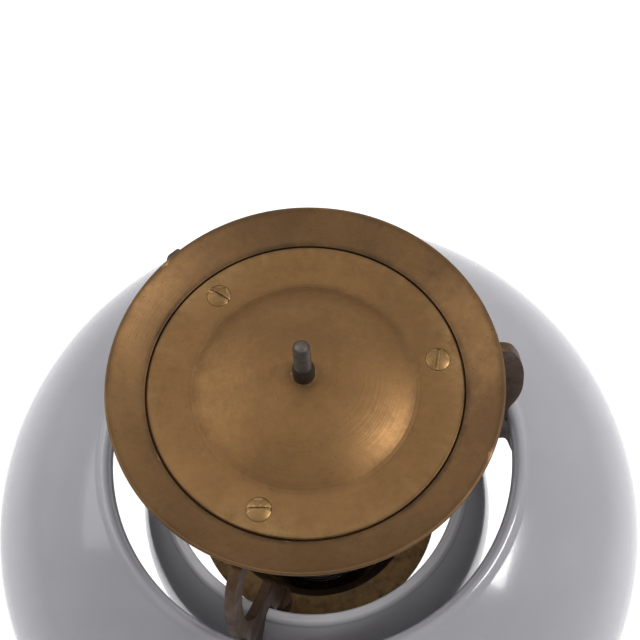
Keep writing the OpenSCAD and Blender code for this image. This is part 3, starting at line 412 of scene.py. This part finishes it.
class Paint(Enum):
    """The lamp's finishes by what they are on."""

    # The rings on the cap, the plate and the gallery darken the grooves, the dome's edge and the stud's foot:
    # partly grime, partly painted shade.
    CAP = AgedMetal("cap_brass", lines=2600.0, stain=0.5,
                    grime_and_shade_rings=((0.0489, 0.0009, 0.85), (0.0592, 0.0009, 0.45)))
    PLATE = AgedMetal("plate_brass", light=(0.205, 0.110, 0.042), mid=(0.142, 0.076, 0.030), lines=1500.0,
                      grime_and_shade_rings=((0.0479, 0.0007, 0.75), (0.0337, 0.0016, 0.28), (0.0030, 0.0018, 0.6)),
                      stain=0.25, scale=38.0)
    SCREW = AgedMetal("screw_brass", light=(0.24, 0.14, 0.055), mid=(0.15, 0.085, 0.034), scale=300.0,
                      stain=0.6, wear=0.9)
    STUD = AgedMetal("stud_steel", light=(0.078, 0.064, 0.053), mid=(0.045, 0.036, 0.030),
                     bright=(0.17, 0.15, 0.13), scale=260.0, stain=0.4)
    ARM = AgedMetal("arm_brass", light=(0.070, 0.041, 0.025), mid=(0.036, 0.023, 0.016),
                    dark=(0.012, 0.009, 0.007), bright=(0.14, 0.085, 0.045), scale=110.0, stain=0.6,
                    rough=(0.72, 0.5), metal=0.97)
    GALLERY = AgedMetal("gallery_brass", light=(0.120, 0.068, 0.030), mid=(0.070, 0.042, 0.022), lines=2100.0,
                        grime_and_shade_rings=((0.0352, 0.0012, 0.6),), stain=0.6, rough=(0.58, 0.4))
    STEM = AgedMetal("stem_brass", light=(0.30, 0.165, 0.058), mid=(0.20, 0.108, 0.037), lines=1800.0,
                     scale=28.0, stain=0.35, rough=(0.46, 0.32))
    CONTACT = AgedMetal("contact_brass", light=(0.74, 0.54, 0.25), mid=(0.60, 0.42, 0.18), scale=160.0,
                        stain=0.2)
    STEEL = AgedMetal("steel", light=(0.58, 0.58, 0.57), mid=(0.44, 0.44, 0.43), bright=(0.8, 0.8, 0.8),
                      scale=150.0, stain=0.3)
    BULB_METAL = AgedMetal("bulb_metal", light=(0.78, 0.78, 0.77), mid=(0.66, 0.66, 0.65),
                           bright=(0.9, 0.9, 0.9), scale=120.0, stain=0.12, rough=(0.38, 0.25))
    FILAMENT = AgedMetal("filament", light=(0.28, 0.28, 0.29), mid=(0.2, 0.2, 0.21),
                         bright=(0.5, 0.5, 0.5), scale=900.0)
    OPAL = Opal("opal_glass")
    # The inner glass is the same opal made lighter: painted light standing in for the light that passes in
    # through the outer glass.
    OPAL_INNER_PAINTED_LIGHT = Opal("opal_glass_inner_painted_light", (0.47, 0.465, 0.475), (0.41, 0.405, 0.42))
    CLEAR = Clear("clear_glass")
    BAKELITE = Dull("bakelite", (0.045, 0.028, 0.022), (0.020, 0.014, 0.012), 60.0, 700.0, (0.22, 0.36),
                    0.00004, 0.4)
    PORCELAIN = Dull("porcelain", (0.84, 0.82, 0.76), (0.76, 0.73, 0.66), 50.0, 500.0, (0.14, 0.28),
                     0.00003, 0.5)
    IRON = Dull("iron", (0.085, 0.085, 0.09), (0.045, 0.045, 0.05), 90.0, 650.0, (0.55, 0.75), 0.0006)
    FIBRE = Dull("fibre", (0.24, 0.15, 0.09), (0.15, 0.09, 0.055), 130.0, 1500.0, (0.7, 0.85), 0.0003)
    FELT = Dull("felt", (0.035, 0.10, 0.055), (0.018, 0.055, 0.03), 300.0, 2600.0, (0.9, 1.0), 0.0008,
                sheen=0.5)
    WIRE = Dull("wire", (0.03, 0.022, 0.02), (0.015, 0.012, 0.012), 400.0, 3000.0, (0.5, 0.7), 0.0002)


def smooth_mesh(name: str, points: np.ndarray, faces: Sequence[Sequence[int]]) -> bpy.types.Object:
    """Puts faces into a new smooth object at the origin.

    Args:
        name: the object's name.
        points: the vertices in metres, one row each.
        faces: each face's corner numbers.

    Returns:
        The new object.
    """
    mesh = bpy.data.meshes.new(name)
    mesh.from_pydata(points.tolist(), [], faces)
    mesh.validate()
    mesh.shade_smooth()
    made = bpy.data.objects.new(name, mesh)
    bpy.context.scene.collection.objects.link(made)
    return made


def grid_faces(rows: int, columns: int, wrap_rows: bool = False, flip: bool = False) -> List[List[int]]:
    """Quads between neighbours of a grid whose columns close into a ring."""
    r = np.arange(rows if wrap_rows else rows - 1)[:, None]
    c = np.arange(columns)[None, :]
    nr, nc = (r + 1) % rows, (c + 1) % columns
    quads = np.stack([r * columns + c, r * columns + nc, nr * columns + nc, nr * columns + c], -1)
    quads = quads.reshape(-1, 4)
    return (quads[:, ::-1] if flip else quads).tolist()


def revolve(name: str, profile: np.ndarray, turns: int = 320) -> bpy.types.Object:
    """Turns a closed profile of (r, z) in millimetres round the axis: (r cos u, r sin u, z)."""
    u = np.linspace(0, 2 * np.pi, turns, endpoint=False)
    r, z = profile[:, :1], profile[:, 1:]
    tall = np.broadcast_to(z, (len(profile), turns))
    grid = np.stack([r * np.cos(u), r * np.sin(u), tall], -1).reshape(-1, 3) * MM
    after = np.roll(profile, -1, axis=0)
    area = np.sum(profile[:, 0] * after[:, 1] - after[:, 0] * profile[:, 1])
    return smooth_mesh(name, grid, grid_faces(len(profile), turns, True, area < 0))


def arc(centre: Sequence[float], radius: float, start: float, stop: float, count: int = 10) -> np.ndarray:
    """Points of an arc: the centre plus the radius times (cos q, sin q), q in degrees."""
    q = np.radians(np.linspace(start, stop, count))
    return np.stack([centre[0] + radius * np.cos(q), centre[1] + radius * np.sin(q)], -1)


@dataclass
class Glass:
    """A blown opal glass: an elliptic wall with a bead at its mouth and a ground lower edge."""

    node: str
    middle: float
    wide: float
    rim: Tuple[float, float]
    low: float
    wall: float
    bead: float
    paint: Paint = Paint.OPAL
    ground: float = 0.35

    def profile(self, steps: int = 90) -> np.ndarray:
        """Wall points are an ellipse's, pushed half the wall along its normal each way."""
        b = (self.rim[1] - self.wide) / math.sqrt(1 - (self.rim[0] / self.middle) ** 2)
        end = math.acos(self.rim[0] / self.middle)
        start = math.asin((self.low - self.wide) / b)
        speed = math.hypot(self.middle * math.sin(end), b * math.cos(end))
        stop = end - math.sqrt(self.bead ** 2 - self.wall ** 2 / 4) / speed
        q = np.linspace(start, stop, steps, endpoint=False)
        at = np.stack([self.middle * np.cos(q), self.wide + b * np.sin(q)], -1)
        out = np.stack([b * np.cos(q), self.middle * np.sin(q)], -1)
        out /= np.linalg.norm(out, axis=1, keepdims=True)
        skew = np.array([-out[0, 1], out[0, 0]]) * out[0, 1] / out[0, 0] * self.wall / 2
        outer, inner = at + out * self.wall / 2, at - out * self.wall / 2
        outer[0] -= skew
        inner[0] += skew
        share = self.ground / self.wall
        low_out = outer[0] * (1 - share) + inner[0] * share
        low_in = inner[0] * (1 - share) + outer[0] * share
        outer[0] += (outer[1] - outer[0]) * 0.2
        inner[0] += (inner[1] - inner[0]) * 0.2
        turn = math.degrees(math.asin(self.wall / 2 / self.bead))
        along = math.degrees(math.atan2(b * math.cos(end), -self.middle * math.sin(end)))
        bead = arc(self.rim, self.bead, along - 180 + turn, along + 180 - turn, 34)
        return np.concatenate([[low_in, low_out], outer, bead, inner[::-1]])

    def build(self) -> bpy.types.Object:
        """Makes the glass and lets it stand for its node."""
        made = revolve(self.node + "_blown", self.profile())
        made.data.materials.append(self.paint.value.material())
        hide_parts(self.node)
        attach(made, "lamp")
        log.info("glass %s: %d faces", self.node, len(made.data.polygons))
        return made


@dataclass
class Stud:
    """The threaded stud on the dome: a plain root with a cone, then a thread up to a chamfered tip."""

    low: float = 459.6
    dome: float = 467.4
    root: float = 3.4
    radius: float = 2.6
    tip: float = 486.4
    pitch: float = 0.8
    depth: float = 0.42

    def build(self) -> bpy.types.Object:
        """The tooth goes with height over pitch less turn over 2 pi, so the crests wind as a thread."""
        turns, rows = 48, 300
        z = np.linspace(self.low, self.tip, rows)[:, None]
        u = np.linspace(0, 2 * np.pi, turns, endpoint=False)[None, :]
        phase = (z / self.pitch - u / (2 * np.pi)) % 1.0
        tooth = self.depth * np.abs(2 * phase - 1) ** 0.9
        cone = np.clip((z - self.dome - 4.0) / 2.5, 0, 1)
        threaded = self.radius - tooth * np.clip((z - self.dome - 5.5) / 1.0, 0, 1)
        threaded = np.minimum(threaded, self.radius - 0.8 + (self.tip - z) * 0.8)
        rooted = (z >= self.dome) & (z < self.dome + 6.5)
        r = np.where(rooted, self.root + (self.radius - self.root) * cone, threaded)
        r = np.where(z < self.dome, self.radius - tooth, r)
        tall = np.broadcast_to(z, r.shape)
        grid = np.stack([r * np.cos(u), r * np.sin(u), tall], -1).reshape(-1, 3) * MM
        ends = np.array([[0, 0, self.low], [0, 0, self.tip]]) * MM
        points = np.concatenate([grid, ends])
        c = np.arange(turns)
        n = (c + 1) % turns
        first, last = len(grid), len(grid) + 1
        top = (rows - 1) * turns
        faces = grid_faces(rows, turns)
        faces += np.stack([n, c, np.full(turns, first)], -1).tolist()
        faces += np.stack([top + c, top + n, np.full(turns, last)], -1).tolist()
        made = smooth_mesh("stud_thread", points, faces)
        made.data.materials.append(Paint.STUD.value.material())
        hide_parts("top_stud")
        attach(made, "lamp")
        log.info("stud: %d faces", len(made.data.polygons))
        return made


@dataclass
class Softened:
    """A copy of a CAD node with its sharp edges rounded off, as casting, turning and moulding leave them."""

    nodes: Tuple[str, ...]
    paint: Paint
    slot: str
    body: str = "lamp"
    edge: float = 0.35
    segments: int = 2

    def build(self) -> List[bpy.types.Object]:
        """Copies each mesh, merges its loose triangles and bevels its sharp turns."""
        made = []
        for node in self.nodes:
            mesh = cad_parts[node].data.copy()
            mesh.materials.clear()
            piece = bpy.data.objects.new(node + "_soft", mesh)
            bpy.context.scene.collection.objects.link(piece)
            weld = piece.modifiers.new("weld", "WELD")
            weld.merge_threshold = 1e-6
            round_off = piece.modifiers.new("edges", "BEVEL")
            round_off.width = self.edge * MM
            round_off.segments = self.segments
            round_off.limit_method = "ANGLE"
            round_off.angle_limit = BEVEL_ABOVE
            mesh.shade_smooth()
            mesh.materials.append(self.paint.value.material())
            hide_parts(node)
            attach(piece, self.body)
            log.info("softened %s", node)
            made.append(piece)
        return made


@dataclass
class Cap:
    """The spun cap ring: funnel, rolled edge, recess wall and seat."""

    edge: float = 465.0
    radius: float = 60.0
    recess: float = 48.6
    fall: float = 5.9
    sheet: float = 1.4
    seat_hole: float = 35.5
    seat: float = 457.6

    def build(self) -> bpy.types.Object:
        """The funnel's height is the fall times the 1.2th power of the way from recess to edge."""
        groove = self.edge - self.fall
        half = self.sheet / 2

        def funnel(r: np.ndarray) -> np.ndarray:
            """Height of the funnel at a radius."""
            return groove + self.fall * ((r - self.recess) / (self.radius - self.recess)) ** 1.2

        top_r = np.linspace(self.recess + 0.25, self.radius - half, 28)
        low_r = np.linspace(self.radius - half, self.recess + self.sheet, 24)
        tip = float(funnel(np.array([self.radius - half]))[0]) - half
        profile = np.concatenate([
            [[self.seat_hole, self.seat], [self.recess - 0.3, self.seat], [self.recess, self.seat + 0.2]],
            [[self.recess, groove - 0.1], [self.recess + 0.08, groove]],
            np.stack([top_r, funnel(top_r)], -1)[:-1],
            arc((self.radius - half, tip), half, 84, -84, 14),
            np.stack([low_r, funnel(low_r) - self.sheet], -1)[1:],
            [[self.recess + self.sheet, self.seat - 1.0],
             [self.recess + self.sheet - 0.4, self.seat - self.sheet],
             [self.seat_hole, self.seat - self.sheet]]])
        made = revolve("cap_ring_spun", profile)
        made.data.materials.append(Paint.CAP.value.material())
        keep = made.modifiers.new("crease", "EDGE_SPLIT")
        keep.split_angle = CREASE_ABOVE
        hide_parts("cap_ring")
        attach(made, "lamp")
        log.info("cap ring: %d faces", len(made.data.polygons))
        return made


@dataclass
class KeptNodes:
    """CAD nodes whose shape stays, each with its finish."""

    paints: Dict[str, Paint] = field(default_factory=lambda: {
        "cover_plate": Paint.PLATE, "stud_nut": Paint.STEEL, "glass_claws": Paint.GALLERY,
        "gallery_cup": Paint.GALLERY, "gallery_screws": Paint.SCREW, "holder_base": Paint.BAKELITE,
        "holder_shell": Paint.BAKELITE, "holder_insert": Paint.PORCELAIN,
        "holder_thread": Paint.CONTACT, "holder_contact": Paint.CONTACT, "bulb_glass": Paint.CLEAR,
        "bulb_cap": Paint.BULB_METAL, "bulb_mount": Paint.CLEAR, "bulb_filament": Paint.FILAMENT,
        "cup_nut": Paint.STEEL, "top_collar": Paint.STEM, "stem_tube": Paint.STEM,
        "stem_pipe": Paint.STEEL, "foot_collar": Paint.STEM, "foot_shell": Paint.STEM,
        "foot_weight": Paint.IRON, "foot_nut": Paint.STEEL, "foot_washer": Paint.STEEL,
        "foot_cover": Paint.FIBRE, "cover_feet_screws": Paint.STEEL, "felt_pad": Paint.FELT,
        "inlet_bush": Paint.BAKELITE, "inlet_clip": Paint.STEEL, "terminal_block": Paint.PORCELAIN,
        "terminal_screws": Paint.CONTACT, "lamp_leads": Paint.WIRE, "switch_lead": Paint.WIRE,
        "switch_body": Paint.BAKELITE, "switch_bush_nut": Paint.CONTACT, "switch_spindle": Paint.STEEL,
        "knob_screw": Paint.STEEL, "outer_glass": Paint.OPAL, "inner_glass": Paint.OPAL_INNER_PAINTED_LIGHT,
        "cap_ring": Paint.CAP, "top_stud": Paint.STUD, "cover_screws": Paint.SCREW,
        "bracket_right": Paint.ARM, "bracket_rear": Paint.ARM, "bracket_front": Paint.ARM,
        "switch_knob": Paint.BAKELITE})

    def dress(self) -> None:
        """Puts each finish on its node's material slots."""
        for node, paint in self.paints.items():
            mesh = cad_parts[node].data
            if not mesh.materials:
                mesh.materials.append(None)
            for i in range(len(mesh.materials)):
                mesh.materials[i] = paint.value.material()
            log.info("finish %s on %s", paint.name, node)


@dataclass
class Studio:
    """Pale floor, soft light and the camera at the photograph's angle."""

    place: Triple = (-0.01584, -0.15867, 0.81910)
    right: Triple = (0.98019, -0.19572, -0.03057)
    up: Triple = (0.18845, 0.87370, 0.44849)
    ahead: Triple = (0.06107, 0.44537, -0.89326)
    lens: float = 73.125
    sensor: float = 36.0
    floor_size: float = 8.0
    floor: Colour = (0.95, 0.95, 0.955)

    def camera(self) -> None:
        """Sets the camera's axes from the measured view."""
        data = bpy.data.cameras.new("view")
        data.lens = self.lens
        data.sensor_width = self.sensor
        data.clip_start = 0.01
        made = bpy.data.objects.new("view", data)
        bpy.context.scene.collection.objects.link(made)
        back = tuple(-v for v in self.ahead)
        axes = Matrix((self.right, self.up, back)).transposed().to_4x4()
        made.matrix_world = Matrix.Translation(self.place) @ axes
        bpy.context.scene.camera = made

    def lamp(self, name: str, at: Triple, size: float, power: float) -> None:
        """Adds a square soft light that looks at the shade."""
        data = bpy.data.lights.new(name, "AREA")
        data.size = size
        data.energy = power
        made = bpy.data.objects.new(name, data)
        bpy.context.scene.collection.objects.link(made)
        aim = -Vector(at)
        aim.z += SHADE_HEIGHT
        made.matrix_world = Matrix.Translation(at) @ aim.to_track_quat("-Z", "Y").to_matrix().to_4x4()

    def build(self) -> None:
        """Lays the floor and lights the scene."""
        bpy.ops.mesh.primitive_plane_add(size=self.floor_size)
        floor = bpy.context.object
        floor.name = "floor"
        shade = tuple(0.985 * c for c in self.floor)
        paint = Dull("floor", self.floor, shade, 3.0, 60.0, (0.8, 0.9), 0.00001)
        floor.data.materials.append(paint.material())
        world = bpy.data.worlds.new("room")
        world.use_nodes = True
        sky = world.node_tree.nodes["Background"]
        sky.inputs[0].default_value = (0.98, 0.98, 1.0, 1.0)
        graph = Graph(world.node_tree)
        way = graph.add("ShaderNodeSeparateXYZ")
        graph.join(graph.add("ShaderNodeTexCoord").outputs["Generated"], way.inputs[0])
        rise = graph.math("MULTIPLY", graph.span(way.outputs[1], -0.8, 0.3), 0.42)
        graph.join(graph.math("ADD", rise, 0.68), sky.inputs[1])
        bpy.context.scene.world = world
        bpy.context.scene.view_settings.view_transform = "Standard"
        self.lamp("key", (0.80, -0.30, 1.10), 0.38, 8.0)
        self.lamp("fill", (-0.9, 0.5, 1.2), 1.0, 5.0)
        self.camera()


def main() -> None:
    """Builds the lamp's pieces in order."""
    Studio().build()
    KeptNodes().dress()
    Glass("outer_glass", 119.5, 334.2, (70.5, 403.1), 297.1, 4.4, 2.6).build()
    Glass("inner_glass", 63.0, 346.9, (52.6, 381.8), 315.3, 3.6, 2.2, Paint.OPAL_INNER_PAINTED_LIGHT).build()
    Cap().build()
    Stud().build()
    Softened(("bracket_right", "bracket_rear", "bracket_front"), Paint.ARM, "arm_brass", edge=0.45).build()
    Softened(("cover_screws",), Paint.SCREW, "screw_brass", edge=0.08).build()
    Softened(("switch_knob",), Paint.BAKELITE, "bakelite", "turn_knob", 0.5, 3).build()


if __name__ == "__main__":
    main()
